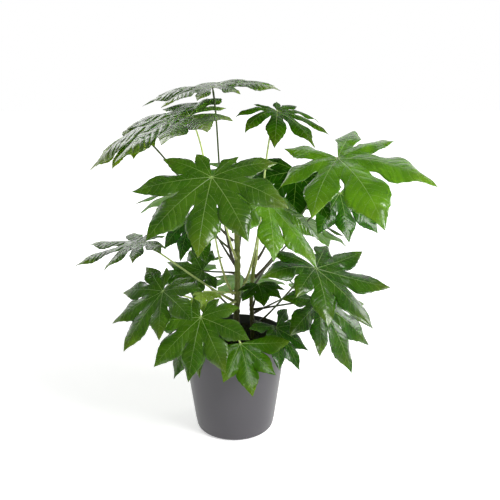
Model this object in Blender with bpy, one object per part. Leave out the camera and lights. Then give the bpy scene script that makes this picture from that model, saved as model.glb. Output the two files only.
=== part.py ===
"""Fatsia japonica in a round pot: the pot, its soil, two woody stems, and one node for each leaf with its petiole.

Metres, +Z up. The origin is the centre of the pot's flat base, and the front of the plant faces -Y.
"""

import math
import random
from collections import namedtuple

import bmesh
import bpy
from mathutils import Matrix, Vector

# Pot and soil
POT_HEIGHT = 0.210
POT_RIM_RADIUS = 0.112
POT_BASE_RADIUS = 0.084
POT_WALL = 0.004
POT_FLOOR = 0.006
POT_FOOT_ROUND = 0.007
POT_SIDES = 48
SOIL_DEPTH_BELOW_RIM = 0.022
SOIL_LUMP = 0.004
FIT_GAP = 0.0003

# Stems: each is a tapered tube through these points, and stands in a plain hole in the soil
Stem = namedtuple("Stem", "name path foot_radius top_radius")
STEMS = {
    "main": Stem(
        "stem_main",
        ((0.002, 0.0, 0.125), (0.003, 0.0, 0.22), (0.007, -0.002, 0.33), (0.006, 0.0, 0.445)),
        0.0068,
        0.0052,
    ),
    "side": Stem(
        "stem_side",
        ((0.036, 0.014, 0.135), (0.038, 0.014, 0.22), (0.036, 0.012, 0.30), (0.045, 0.010, 0.390)),
        0.0048,
        0.0038,
    ),
}
STEM_SIDES = 12
STEM_ROWS = 9

# Leaves, top to bottom: the blade's centre is where the petiole meets it. Heading is where the middle lobe points in
# plan (0 = +X, -90 = front), pitch is how far it points down, roll raises its left side, droop bends every lobe.
Leaf = namedtuple("Leaf", "name stem joint centre heading pitch roll reach droop lobes")
LEAVES = (
    Leaf("leaf_top", "main", 0.365, (-0.041, 0.035, 0.719), 104, -8, -8, 0.188, 30, 9),
    Leaf("leaf_upper_left", "main", 0.30, (-0.083, -0.02, 0.669), 177, 9, -13, 0.218, 34, 9),
    Leaf("leaf_far_left", "main", 0.415, (-0.187, 0.030, 0.628), 184, 23, -16, 0.135, 34, 7),
    Leaf("leaf_upper_right", "main", 0.31, (0.086, 0.00, 0.677), -55, 14, 0, 0.127, 40, 9),
    Leaf("leaf_right", "side", 0.335, (0.200, -0.05, 0.593), -70, 14, 15, 0.200, 42, 7),
    Leaf("leaf_front", "main", 0.38, (-0.035, -0.14, 0.572), -100, 36, 0, 0.180, 26, 9),
    Leaf("leaf_inner_right", "side", 0.36, (0.065, -0.09, 0.519), -40, 36, 0, 0.155, 28, 7),
    Leaf("leaf_inner_left", "main", 0.395, (-0.082, -0.048, 0.476), -118, 54, 0, 0.112, 20, 7),
    Leaf("leaf_mid_right", "side", 0.37, (0.132, 0.072, 0.547), -100, 46, 0, 0.130, 24, 7),
    Leaf("leaf_behind_right", "side", 0.33, (0.232, 0.13, 0.490), -78, 46, 0, 0.130, 24, 7),
    Leaf("leaf_low_right", "side", 0.225, (0.160, -0.09, 0.386), -38, 28, 4, 0.168, 32, 9),
    Leaf("leaf_under_right", "side", 0.26, (0.178, -0.02, 0.290), -44, 48, 0, 0.152, 22, 7),
    Leaf("leaf_left", "main", 0.285, (-0.184, -0.02, 0.418), 190, 8, 0, 0.145, 28, 9),
    Leaf("leaf_low_left", "main", 0.262, (-0.136, -0.10, 0.342), -134, 36, 0, 0.142, 22, 9),
    Leaf("leaf_mid_left", "main", 0.345, (-0.070, 0.045, 0.336), -176, 8, -22, 0.112, 22, 7),
    Leaf("leaf_young", "main", 0.305, (-0.060, -0.066, 0.328), -88, 30, 0, 0.050, 24, 5),
    Leaf("leaf_centre_right", "side", 0.27, (0.050, -0.02, 0.328), -82, 2, 0, 0.078, 34, 7),
    Leaf("leaf_low_front", "main", 0.285, (-0.062, -0.12, 0.296), -108, 50, 0, 0.134, 18, 9),
    Leaf("leaf_low_front_left", "main", 0.235, (-0.085, -0.05, 0.252), -135, 58, 0, 0.125, 18, 7),
    Leaf("leaf_over_pot", "main", 0.225, (0.014, -0.13, 0.246), -68, 44, 0, 0.112, 22, 5),
    Leaf("leaf_over_pot_right", "side", 0.235, (0.086, -0.065, 0.251), -40, 42, 0, 0.106, 24, 7),
    Leaf("leaf_back_left", "main", 0.36, (-0.110, 0.19, 0.485), 125, 22, 0, 0.150, 26, 9),
    Leaf("leaf_back", "main", 0.38, (0.030, 0.20, 0.535), 85, 22, 0, 0.160, 26, 9),
    Leaf("leaf_back_right", "side", 0.31, (0.150, 0.21, 0.410), 45, 28, 0, 0.150, 26, 9),
    Leaf("leaf_low_back_left", "main", 0.26, (-0.110, 0.14, 0.310), 135, 34, 0, 0.140, 24, 9),
    Leaf("leaf_low_back", "main", 0.245, (0.020, 0.18, 0.272), 92, 36, 0, 0.130, 24, 9),
    Leaf("leaf_low_back_right", "side", 0.25, (0.150, 0.10, 0.270), 20, 40, 0, 0.120, 24, 7),
)

# Extra bend of each lobe, in degrees, from the blade's right to its left
BENDS = {
    "leaf_upper_left": (0, -8, 0, 0, 16, -4, -26, -20, -10),
    "leaf_upper_right": (-30, 6, 16, 14, 0, -8, 0, -20, -40),
    "leaf_right": (-40, 0, 4, 8, -6, -26, -24),
    "leaf_inner_right": (0, 0, 0, -12, 0, 20, 36),
    "leaf_mid_right": (0, 0, -20, 0, 0, 0, 0),
    "leaf_front": (0, -10, -14, 0, 0, 8, 6, 0, 0),
    "leaf_low_right": (-16, 0, 0, 4, -8, -36, -50, -6, 0),
    "leaf_left": (0, 0, -10, -16, 0, 14, 10, 0, 30),
    "leaf_low_left": (-20, -14, 0, -4, 0, 6, 0, 0, 0),
    "leaf_inner_left": (0, 0, 15, 0, 0, 0, 10),
    "leaf_mid_left": (0, 0, -12, -18, 0, 0, 0),
    "leaf_over_pot": (0, -6, 0, -12, -44),
}

# Length of each lobe against the usual one, from the blade's right to its left, for leaves that grew unevenly
LENGTHS = {
    "leaf_top": (1, 1.08, 1, 1, 1, 1, 1, 1, 1),
    "leaf_upper_left": (1, 1, 1, 1, 1, 0.86, 0.82, 0.95, 1.25),
    "leaf_far_left": (1, 1, 1, 1.05, 0.8, 0.75, 0.85),
    "leaf_right": (0.85, 0.75, 0.88, 1.06, 0.98, 0.72, 0.92),
    "leaf_front": (1, 1, 1, 1, 1, 0.86, 1, 1, 1),
    "leaf_inner_right": (1, 1, 0.92, 1.1, 0.94, 0.74, 0.8),
    "leaf_low_right": (1.4, 1.25, 0.66, 0.9, 1.04, 1.04, 0.85, 1, 1),
    "leaf_under_right": (1, 1, 0.88, 1.14, 1.16, 1.15, 1),
    "leaf_over_pot_right": (1, 0.5, 0.9, 0.9, 0.9, 1, 1),
    "leaf_left": (1, 1, 1, 1, 1, 0.8, 0.7, 1, 1),
    "leaf_low_left": (1, 1, 1, 0.86, 1, 0.84, 0.9, 1, 1),
    "leaf_inner_left": (1, 1, 0.8, 0.78, 1, 0.8, 1),
    "leaf_mid_left": (1, 1, 0.9, 1, 0.85, 0.9, 1),
    "leaf_centre_right": (0.7, 0.75, 1, 1, 0.9, 0.85, 1),
    "leaf_young": (0.6, 1, 1, 1, 1),
    "leaf_low_front": (0.8, 0.84, 1, 1, 1, 1, 1, 1, 1),
    "leaf_over_pot": (0.55, 0.80, 1, 0.92, 1),
}

# Sinus depth, lobe width and angle between lobes against the usual ones, for leaves of another form
FORMS = {
    "leaf_upper_right": (0.75, 0.80, 1),
    "leaf_left": (0.85, 0.80, 1),
    "leaf_low_right": (1.08, 1.05, 1),
    "leaf_centre_right": (1.08, 1.05, 1),
    "leaf_over_pot": (1.14, 1.12, 1),
    "leaf_right": (0.95, 1.06, 1.24),
    "leaf_mid_right": (1.10, 1.05, 1),
}

# Lobe directions and lengths, from the middle lobe out; a blade uses the first of them on each side
LOBE_ANGLES = (0, 37, 75, 112, 146)
LOBE_LENGTHS = (1.0, 0.97, 0.86, 0.66, 0.42)
SINUS = 0.40
OUTER_EDGE_ANGLE = 17
# Half-width of a lobe against its length, at fractions of its length: widest place, tooth, notch behind the tooth
LOBE_ROWS = ((0.58, 0.186), (0.72, 0.160), (0.79, 0.112))
BLADE_THICKNESS = 0.0010
FOLD_DEGREES = 12
CUP_DEGREES = 10
MIDRIB_STEPS = 24
GRAVITY_SHARE = 0.5

PETIOLE_FOOT_RADIUS = 0.0032
PETIOLE_RADIUS = 0.0019
PETIOLE_SIDES = 6
PETIOLE_ROWS = 8

LEAF_GREEN = (0.055, 0.150, 0.022, 1)
YOUNG_GREEN = (0.150, 0.270, 0.040, 1)
BARK_BROWN = (0.200, 0.170, 0.070, 1)
POT_GREY = (0.110, 0.100, 0.110, 1)
SOIL_BLACK = (0.016, 0.012, 0.009, 1)


def clear_scene():
    for obj in list(bpy.data.objects):
        bpy.data.objects.remove(obj)


def material(name, colour, roughness):
    made = bpy.data.materials.new(name)
    made.use_nodes = True
    shader = made.node_tree.nodes["Principled BSDF"]
    shader.inputs["Base Color"].default_value = colour
    shader.inputs["Roughness"].default_value = roughness
    return made


def add_object(name, mesh, surface):
    obj = bpy.data.objects.new(name, mesh)
    bpy.context.scene.collection.objects.link(obj)
    mesh.materials.append(surface)
    return obj


def mesh_of(name, points, faces):
    mesh = bpy.data.meshes.new(name)
    mesh.from_pydata(points, [], faces)
    work = bmesh.new()
    work.from_mesh(mesh)
    bmesh.ops.recalc_face_normals(work, faces=work.faces)
    work.to_mesh(mesh)
    work.free()
    return mesh


def turned(name, profile, sides):
    """A closed solid turned about Z from (radius, height) points that start and end on the axis."""
    work = bmesh.new()
    ring = [work.verts.new((radius, 0, height)) for radius, height in profile]
    edges = [work.edges.new(pair) for pair in zip(ring, ring[1:])]
    bmesh.ops.spin(
        work, geom=ring + edges, cent=(0, 0, 0), axis=(0, 0, 1), angle=math.tau, steps=sides, use_merge=True
    )
    bmesh.ops.remove_doubles(work, verts=work.verts, dist=1e-6)
    bmesh.ops.recalc_face_normals(work, faces=work.faces)
    mesh = bpy.data.meshes.new(name)
    work.to_mesh(mesh)
    work.free()
    return mesh


def pot_radius(height):
    """Outer radius of the pot at this height."""
    return POT_BASE_RADIUS + (POT_RIM_RADIUS - POT_BASE_RADIUS) * height / POT_HEIGHT


def build_pot(surface):
    round_off = POT_WALL / 2
    rim = [
        (
            POT_RIM_RADIUS - round_off + round_off * math.cos(angle),
            POT_HEIGHT - round_off + round_off * math.sin(angle),
        )
        for angle in (math.radians(step) for step in range(0, 181, 45))
    ]
    foot = [
        (
            POT_BASE_RADIUS - POT_FOOT_ROUND + POT_FOOT_ROUND * math.sin(angle),
            POT_FOOT_ROUND - POT_FOOT_ROUND * math.cos(angle),
        )
        for angle in (math.radians(step) for step in range(0, 91, 30))
    ]
    inside = [(pot_radius(POT_FLOOR) - POT_WALL, POT_FLOOR), (0, POT_FLOOR)]
    pot = add_object("pot", turned("pot", [(0, 0)] + foot + rim + inside, POT_SIDES), surface)
    pot.data.shade_smooth()
    pot.data.set_sharp_from_angle(angle=math.radians(40))
    return pot


def soil_top(radius, angle):
    """Height of the soil: low lumps, a little higher round the stems."""
    lumps = math.sin(3 * angle + 40 * radius) + 0.6 * math.sin(7 * angle - 90 * radius + 1.3)
    mound = 0.004 * (1 - radius / POT_RIM_RADIUS)
    return POT_HEIGHT - SOIL_DEPTH_BELOW_RIM + mound + SOIL_LUMP / 2 * lumps * min(1, radius / 0.03)


def soil_radius(height):
    """Radius that stays clear of the pot's inside, whose flats lie inside its circle."""
    return (pot_radius(height) - POT_WALL) * math.cos(math.pi / POT_SIDES) - FIT_GAP


def build_soil(surface):
    rings = (0.022, 0.045, 0.066, 0.084, None)
    sides = 36
    bottom = POT_FLOOR + FIT_GAP
    points = [Vector((0, 0, soil_top(0, 0)))]
    faces = []
    for ring in rings:
        for step in range(sides):
            angle = math.tau * step / sides
            height = soil_top(ring or POT_RIM_RADIUS - POT_WALL, angle)
            radius = ring or soil_radius(height)
            points.append(Vector((radius * math.cos(angle), radius * math.sin(angle), height)))
    wall = soil_radius(bottom)
    for step in range(sides):
        angle = math.tau * step / sides
        points.append(Vector((wall * math.cos(angle), wall * math.sin(angle), bottom)))
    points.append(Vector((0, 0, bottom)))
    rows = len(rings) + 1
    for step in range(sides):
        after = (step + 1) % sides
        faces.append((0, 1 + step, 1 + after))
        for row in range(rows - 1):
            low, high = 1 + row * sides, 1 + (row + 1) * sides
            faces.append((low + step, high + step, high + after, low + after))
        last = 1 + (rows - 1) * sides
        faces.append((last + step, len(points) - 1, last + after))
    soil = add_object("soil", mesh_of("soil", points, faces), surface)
    for stem in STEMS.values():
        cut_hole(soil, stem)
    return soil


def cut_hole(soil, stem):
    """A plain round hole that follows the stem's foot, with a small gap all round."""
    foot = Vector(stem.path[0]) - Vector((0, 0, FIT_GAP))
    over = stem_point(stem, POT_HEIGHT + 0.01)
    points, faces = tube([foot, over], [stem.foot_radius + FIT_GAP + 0.0003] * 2, 16)
    cutter = bpy.data.objects.new("hole", mesh_of("hole", points, faces))
    bpy.context.scene.collection.objects.link(cutter)
    apply_boolean(soil, cutter, "DIFFERENCE")


def apply_boolean(target, other, operation):
    """Applies a Boolean to target's mesh and removes the other object."""
    boolean = target.modifiers.new("boolean", "BOOLEAN")
    boolean.operation = operation
    boolean.object = other
    graph = bpy.context.evaluated_depsgraph_get()
    result = bpy.data.meshes.new_from_object(target.evaluated_get(graph))
    target.modifiers.remove(boolean)
    old = target.data
    target.data = result
    bpy.data.meshes.remove(old)
    bpy.data.objects.remove(other)


def tube(path, radii, sides):
    """Points and faces of a closed tube along path, with flat ends."""
    points, faces = [], []
    mostly_x = abs((path[1] - path[0]).normalized().x) > 0.9
    across = Vector((0, 1, 0)) if mostly_x else Vector((1, 0, 0))
    for index, centre in enumerate(path):
        before = path[max(index - 1, 0)]
        after = path[min(index + 1, len(path) - 1)]
        along = (after - before).normalized()
        across = (across - along * across.dot(along)).normalized()
        beside = along.cross(across)
        for side in range(sides):
            angle = math.tau * side / sides
            points.append(centre + radii[index] * (across * math.cos(angle) + beside * math.sin(angle)))
    for row in range(len(path) - 1):
        for side in range(sides):
            a, b = row * sides + side, row * sides + (side + 1) % sides
            faces.append((a, b, b + sides, a + sides))
    faces.append(tuple(reversed(range(sides))))
    faces.append(tuple(range((len(path) - 1) * sides, len(path) * sides)))
    return points, faces


def stem_spline(stem, share):
    """Point on the stem's smooth centre line, share 0 at its foot and 1 at its top."""
    path = [Vector(point) for point in stem.path]
    place = min(max(share, 0), 1) * (len(path) - 1)
    index = min(int(place), len(path) - 2)
    t = place - index
    start, end = path[index], path[index + 1]
    before = path[index - 1] if index else start * 2 - end
    after = path[index + 2] if index + 2 < len(path) else end * 2 - start
    bow = (before * 2 - start * 5 + end * 4 - after) * t**2
    twist = (start * 3 - before - end * 3 + after) * t**3
    return (start * 2 + (end - before) * t + bow + twist) / 2


def stem_share(stem, height):
    """Share along the stem at which its centre line reaches this height."""
    low, high = 0.0, 1.0
    for _ in range(24):
        middle = (low + high) / 2
        if stem_spline(stem, middle).z < height:
            low = middle
        else:
            high = middle
    return low


def stem_point(stem, height):
    return stem_spline(stem, stem_share(stem, height))


def stem_radius(stem, share):
    return stem.foot_radius + (stem.top_radius - stem.foot_radius) * share


def build_stem(stem, surface):
    shares = [row / STEM_ROWS for row in range(STEM_ROWS + 1)]
    path = [stem_spline(stem, share) for share in shares]
    radii = [stem_radius(stem, share) for share in shares]
    top = path[-1] + (path[-1] - path[-2]).normalized() * stem.top_radius
    path.append(top)
    radii.append(stem.top_radius * 0.45)
    points, faces = tube(path, radii, STEM_SIDES)
    obj = add_object(stem.name, mesh_of(stem.name, points, faces), surface)
    obj.data.shade_smooth()
    return obj


def leaf_frame(leaf):
    """Unit vectors along the middle lobe, to its left, and up out of the blade."""
    heading, pitch, roll = (math.radians(value) for value in (leaf.heading, leaf.pitch, leaf.roll))
    forward = Vector(
        (math.cos(heading) * math.cos(pitch), math.sin(heading) * math.cos(pitch), -math.sin(pitch))
    )
    level = Vector((-math.sin(heading), math.cos(heading), 0))
    left = level * math.cos(roll) + forward.cross(level) * math.sin(roll)
    return forward, left, forward.cross(left)


class Lobe:
    """One lobe: its midrib as a bent curve with a frame at each step, and its outline beside it."""

    def __init__(self, leaf, side, rank, extra_bend, extra_length, random_state):
        cut, self.slim, spread = FORMS.get(leaf.name, (1, 1, 1))
        self.angle = side * LOBE_ANGLES[rank] * spread + random_state.uniform(-1, 1) * (rank > 0)
        self.length = leaf.reach * LOBE_LENGTHS[rank] * random_state.uniform(0.90, 1.04) * extra_length
        self.twist = math.radians(random_state.uniform(-8, 8))
        self.sinus = SINUS * cut
        forward, left, up = leaf_frame(leaf)
        angle = math.radians(self.angle)
        root = forward * math.cos(angle) + left * math.sin(angle)
        pull = up * (GRAVITY_SHARE - 1) - Vector((0, 0, GRAVITY_SHARE))
        down = pull - root * pull.dot(root)
        bend = math.radians(leaf.droop + extra_bend + random_state.uniform(-4, 4))
        bend *= min(1, down.length * 1.15)
        cup = math.radians(CUP_DEGREES) * min(1, (1 - math.cos(angle)) / 1.3)
        axis = root.cross(down.normalized())
        side_start = up.cross(root)
        step = self.length / MIDRIB_STEPS
        place = Vector(leaf.centre)
        self.places, self.frames = [place.copy()], []
        for index in range(MIDRIB_STEPS + 1):
            share = index / MIDRIB_STEPS
            turn = Matrix.Rotation(bend * share**1.5 - cup * (1 - share), 3, axis)
            along = turn @ root
            twist = Matrix.Rotation(self.twist * share**1.5, 3, along)
            self.frames.append((twist @ turn @ side_start, twist @ turn @ up))
            place = place + along * step
            self.places.append(place)

    def at(self, along, across):
        """Point of the blade at a distance along the midrib and across it, positive to the left."""
        step = self.length / MIDRIB_STEPS
        place = min(max(along / step, 0), MIDRIB_STEPS)
        index = min(int(place), MIDRIB_STEPS - 1)
        t = place - index
        on_rib = self.places[index].lerp(self.places[index + 1], t)
        side = self.frames[index][0].lerp(self.frames[index + 1][0], t).normalized()
        up = self.frames[index][1].lerp(self.frames[index + 1][1], t).normalized()
        fold = math.radians(FOLD_DEGREES)
        return on_rib + side * (across * math.cos(fold)) - up * (abs(across) * math.sin(fold))


def lobes_of(leaf):
    """The leaf's lobes from its right to its left."""
    bends = BENDS.get(leaf.name, [0] * leaf.lobes)
    lengths = LENGTHS.get(leaf.name, [1] * leaf.lobes)
    ranks = (leaf.lobes - 1) // 2
    order = [(-1, rank) for rank in range(ranks, 0, -1)] + [(1, rank) for rank in range(ranks + 1)]
    state = random.Random(leaf.name)
    return [
        Lobe(leaf, side, rank, bends[index], lengths[index], state)
        for index, (side, rank) in enumerate(order)
    ]


def blade_surface(leaf, lobes):
    """Points and triangles of the blade's middle surface, and its edge as a loop of point numbers."""
    points = [Vector(leaf.centre)]
    faces, edge = [], []
    count = len(lobes)
    # One sinus point between each two lobes, and an outer one beside each of the two outermost
    sinus = []
    for index in range(count + 1):
        beside = [lobes[i] for i in (index - 1, index) if 0 <= i < count]
        if len(beside) == 2:
            half = math.radians(beside[1].angle - beside[0].angle) / 2
            reach = beside[0].sinus * (beside[0].length + beside[1].length) / 2
            first = beside[0].at(reach * math.cos(half), reach * math.sin(half))
            second = beside[1].at(reach * math.cos(half), -reach * math.sin(half))
            place = (first + second) / 2
        else:
            half = math.radians(OUTER_EDGE_ANGLE) * (1 if index else -1)
            reach = beside[0].sinus * beside[0].length * 1.2
            place = beside[0].at(reach * math.cos(half), reach * math.sin(half))
        sinus.append(len(points))
        points.append(place)
    for index, lobe in enumerate(lobes):
        right, left = sinus[index], sinus[index + 1]
        middle = len(points)
        points.append(lobe.at(lobe.length * lobe.sinus, 0))
        faces += [(0, right, middle), (0, middle, left)]
        right_edge, left_edge = [right], [left]
        last = (right, middle, left)
        for share, width in LOBE_ROWS:
            row = tuple(range(len(points), len(points) + 3))
            for across in (-width, 0, width):
                points.append(lobe.at(lobe.length * share, lobe.length * across * lobe.slim))
            for a, b in ((0, 1), (1, 2)):
                faces += quad_split(last[a], row[a], row[b], last[b], a == 1)
            right_edge.append(row[0])
            left_edge.append(row[2])
            last = row
        tip = len(points)
        points.append(lobe.at(lobe.length, 0))
        faces += [(last[0], tip, last[1]), (last[1], tip, last[2])]
        edge += right_edge + [tip] + left_edge[:0:-1]
    edge.append(sinus[-1])
    return points, faces, [0] + edge


def quad_split(a, b, c, d, other_way):
    return [(a, b, d), (b, c, d)] if other_way else [(a, b, c), (a, c, d)]


def thickened(points, faces, edge):
    """The surface as a closed solid, triangulated alike on both faces."""
    normals = [Vector((0, 0, 0)) for _ in points]
    for face in faces:
        a, b, c = (points[i] for i in face)
        normal = (b - a).cross(c - a)
        for i in face:
            normals[i] += normal
    half = BLADE_THICKNESS / 2
    shift = [normal.normalized() * half for normal in normals]
    count = len(points)
    solid = [p + s for p, s in zip(points, shift)] + [p - s for p, s in zip(points, shift)]
    sides = []
    for a, b in zip(edge, edge[1:] + edge[:1]):
        sides += [(a, a + count, b + count), (a, b + count, b)]
    under = [(a + count, c + count, b + count) for a, b, c in faces]
    return solid, list(faces) + under + sides


def petiole_path(leaf):
    """Centre line of the petiole from just clear of its stem to the blade's centre."""
    stem = STEMS[leaf.stem]
    share = stem_share(stem, leaf.joint)
    joint = stem_spline(stem, share)
    centre = Vector(leaf.centre)
    outward = Vector((centre.x - joint.x, centre.y - joint.y, 0)).normalized()
    forward, _, up = leaf_frame(leaf)
    rise = Vector((0, 0, 1))
    chord = (centre - joint).normalized()
    start_way = (outward * 0.35 + rise * 0.1 + chord).normalized()
    lean = start_way.z
    start = joint + outward * (stem_radius(stem, share) + FIT_GAP + PETIOLE_FOOT_RADIUS * lean)
    end_way = (forward * 0.45 + up * 0.40 + chord).normalized()
    end = centre + up * (BLADE_THICKNESS / 2 + 0.0004)
    span = (end - start).length
    first, second = start + start_way * span * 0.3, end - end_way * span * 0.25
    path = []
    for row in range(PETIOLE_ROWS + 1):
        t = row / PETIOLE_ROWS
        s = 1 - t
        path.append(start * s**3 + first * (3 * s * s * t) + second * (3 * s * t * t) + end * t**3)
    return path


def petiole_radii():
    foot = PETIOLE_FOOT_RADIUS - PETIOLE_RADIUS
    return [PETIOLE_RADIUS + foot * max(0, 1 - 3 * row / PETIOLE_ROWS) for row in range(PETIOLE_ROWS + 1)]


def build_leaf(leaf, surface):
    lobes = lobes_of(leaf)
    points, faces = thickened(*blade_surface(leaf, lobes))
    obj = add_object(leaf.name, mesh_of(leaf.name, points, faces), surface)
    points, faces = tube(petiole_path(leaf), petiole_radii(), PETIOLE_SIDES)
    petiole = bpy.data.objects.new("petiole", mesh_of("petiole", points, faces))
    bpy.context.scene.collection.objects.link(petiole)
    apply_boolean(obj, petiole, "UNION")
    return obj


def main():
    clear_scene()
    leaf_green = material("leaf", LEAF_GREEN, 0.35)
    young_green = material("young_leaf", YOUNG_GREEN, 0.4)
    build_pot(material("pot", POT_GREY, 0.45))
    build_soil(material("soil", SOIL_BLACK, 0.95))
    bark = material("bark", BARK_BROWN, 0.75)
    for stem in STEMS.values():
        build_stem(stem, bark)
    for leaf in LEAVES:
        build_leaf(leaf, young_green if leaf.name == "leaf_young" else leaf_green)


main()
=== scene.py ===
"""Looks of the potted fatsia japonica: fine leaves, stems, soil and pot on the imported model, and a stage.

Metres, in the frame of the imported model: +Z up, origin at the centre of the pot's base, front faces -Y.
"""

import math
import random
from collections import namedtuple

import bpy
import numpy as np
from mathutils import Matrix, Vector


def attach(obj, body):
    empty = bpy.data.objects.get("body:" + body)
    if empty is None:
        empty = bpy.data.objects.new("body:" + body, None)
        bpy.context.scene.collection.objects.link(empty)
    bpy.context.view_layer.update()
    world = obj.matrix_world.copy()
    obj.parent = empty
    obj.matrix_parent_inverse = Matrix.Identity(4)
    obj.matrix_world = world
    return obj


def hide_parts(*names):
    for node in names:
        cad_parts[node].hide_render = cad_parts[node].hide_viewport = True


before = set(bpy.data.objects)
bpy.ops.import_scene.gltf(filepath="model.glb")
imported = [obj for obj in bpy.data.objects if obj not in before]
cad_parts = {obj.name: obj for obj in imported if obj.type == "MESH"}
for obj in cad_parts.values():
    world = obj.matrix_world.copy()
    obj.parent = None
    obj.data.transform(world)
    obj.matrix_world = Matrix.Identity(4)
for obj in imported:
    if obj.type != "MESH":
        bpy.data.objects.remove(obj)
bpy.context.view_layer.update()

# Pot and soil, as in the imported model
POT_HEIGHT = 0.210
POT_RIM_RADIUS = 0.112
POT_BASE_RADIUS = 0.084
POT_WALL = 0.004
POT_FLOOR = 0.006
POT_FOOT_ROUND = 0.007
SOIL_DEPTH_BELOW_RIM = 0.022
SOIL_LUMP = 0.004
SOIL_MOUND = 0.004
FLAT_SOIL_RADIUS = 0.03

# Stems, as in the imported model: smooth tubes through these points
Stem = namedtuple("Stem", "name path foot_radius top_radius")
STEMS = {
    "main": Stem(
        "stem_main",
        ((0.002, 0.0, 0.125), (0.003, 0.0, 0.22), (0.007, -0.002, 0.33), (0.006, 0.0, 0.445)),
        0.0068,
        0.0052,
    ),
    "side": Stem(
        "stem_side",
        ((0.036, 0.014, 0.135), (0.038, 0.014, 0.22), (0.036, 0.012, 0.30), (0.045, 0.010, 0.390)),
        0.0048,
        0.0038,
    ),
}

# Leaves, top to bottom. The petiole leaves its stem at the joint's height and meets the blade at its centre.
# Heading is where the middle lobe points in plan (0 = +X, -90 = front), pitch is how far it points down,
# roll raises its left side, reach is its length, and droop bends every lobe.
Leaf = namedtuple("Leaf", "name stem joint centre heading pitch roll reach droop lobes")
LEAVES = (
    Leaf("leaf_top", "main", 0.365, (-0.041, 0.035, 0.719), 104, -8, -8, 0.188, 30, 9),
    Leaf("leaf_upper_left", "main", 0.30, (-0.083, -0.02, 0.669), 177, 9, -13, 0.218, 34, 9),
    Leaf("leaf_far_left", "main", 0.415, (-0.187, 0.030, 0.628), 184, 23, -16, 0.135, 34, 7),
    Leaf("leaf_upper_right", "main", 0.31, (0.086, 0.00, 0.677), -55, 14, 0, 0.127, 40, 9),
    Leaf("leaf_right", "side", 0.335, (0.200, -0.05, 0.593), -70, 14, 15, 0.200, 42, 7),
    Leaf("leaf_front", "main", 0.38, (-0.035, -0.14, 0.572), -100, 36, 0, 0.180, 26, 9),
    Leaf("leaf_inner_right", "side", 0.36, (0.065, -0.09, 0.519), -40, 36, 0, 0.155, 28, 7),
    Leaf("leaf_inner_left", "main", 0.395, (-0.082, -0.048, 0.476), -118, 54, 0, 0.112, 20, 7),
    Leaf("leaf_mid_right", "side", 0.37, (0.132, 0.072, 0.547), -100, 46, 0, 0.130, 24, 7),
    Leaf("leaf_behind_right", "side", 0.33, (0.232, 0.13, 0.490), -78, 46, 0, 0.130, 24, 7),
    Leaf("leaf_low_right", "side", 0.225, (0.160, -0.09, 0.386), -38, 28, 4, 0.168, 32, 9),
    Leaf("leaf_under_right", "side", 0.26, (0.178, -0.02, 0.290), -44, 48, 0, 0.152, 22, 7),
    Leaf("leaf_left", "main", 0.285, (-0.184, -0.02, 0.418), 190, 8, 0, 0.145, 28, 9),
    Leaf("leaf_low_left", "main", 0.262, (-0.136, -0.10, 0.342), -134, 36, 0, 0.142, 22, 9),
    Leaf("leaf_mid_left", "main", 0.345, (-0.070, 0.045, 0.336), -176, 8, -22, 0.112, 22, 7),
    Leaf("leaf_young", "main", 0.305, (-0.060, -0.066, 0.328), -88, 30, 0, 0.050, 24, 5),
    Leaf("leaf_centre_right", "side", 0.27, (0.050, -0.02, 0.328), -82, 2, 0, 0.078, 34, 7),
    Leaf("leaf_low_front", "main", 0.285, (-0.062, -0.12, 0.296), -108, 50, 0, 0.134, 18, 9),
    Leaf("leaf_low_front_left", "main", 0.235, (-0.085, -0.05, 0.252), -135, 58, 0, 0.125, 18, 7),
    Leaf("leaf_over_pot", "main", 0.225, (0.014, -0.13, 0.246), -68, 44, 0, 0.112, 22, 5),
    Leaf("leaf_over_pot_right", "side", 0.235, (0.086, -0.065, 0.251), -40, 42, 0, 0.106, 24, 7),
    Leaf("leaf_back_left", "main", 0.36, (-0.110, 0.19, 0.485), 125, 22, 0, 0.150, 26, 9),
    Leaf("leaf_back", "main", 0.38, (0.030, 0.20, 0.535), 85, 22, 0, 0.160, 26, 9),
    Leaf("leaf_back_right", "side", 0.31, (0.150, 0.21, 0.410), 45, 28, 0, 0.150, 26, 9),
    Leaf("leaf_low_back_left", "main", 0.26, (-0.110, 0.14, 0.310), 135, 34, 0, 0.140, 24, 9),
    Leaf("leaf_low_back", "main", 0.245, (0.020, 0.18, 0.272), 92, 36, 0, 0.130, 24, 9),
    Leaf("leaf_low_back_right", "side", 0.25, (0.150, 0.10, 0.270), 20, 40, 0, 0.120, 24, 7),
)

# Extra bend of each lobe, in degrees, from the blade's right to its left
BENDS = {
    "leaf_upper_left": (0, -8, 0, 0, 16, -4, -26, -20, -10),
    "leaf_upper_right": (-30, 6, 16, 14, 0, -8, 0, -20, -40),
    "leaf_right": (-40, 0, 4, 8, -6, -26, -24),
    "leaf_inner_right": (0, 0, 0, -12, 0, 20, 36),
    "leaf_mid_right": (0, 0, -20, 0, 0, 0, 0),
    "leaf_front": (0, -10, -14, 0, 0, 8, 6, 0, 0),
    "leaf_low_right": (-16, 0, 0, 4, -8, -36, -50, -6, 0),
    "leaf_left": (0, 0, -10, -16, 0, 14, 10, 0, 30),
    "leaf_low_left": (-20, -14, 0, -4, 0, 6, 0, 0, 0),
    "leaf_inner_left": (0, 0, 15, 0, 0, 0, 10),
    "leaf_mid_left": (0, 0, -12, -18, 0, 0, 0),
    "leaf_over_pot": (0, -6, 0, -12, -44),
}

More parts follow.
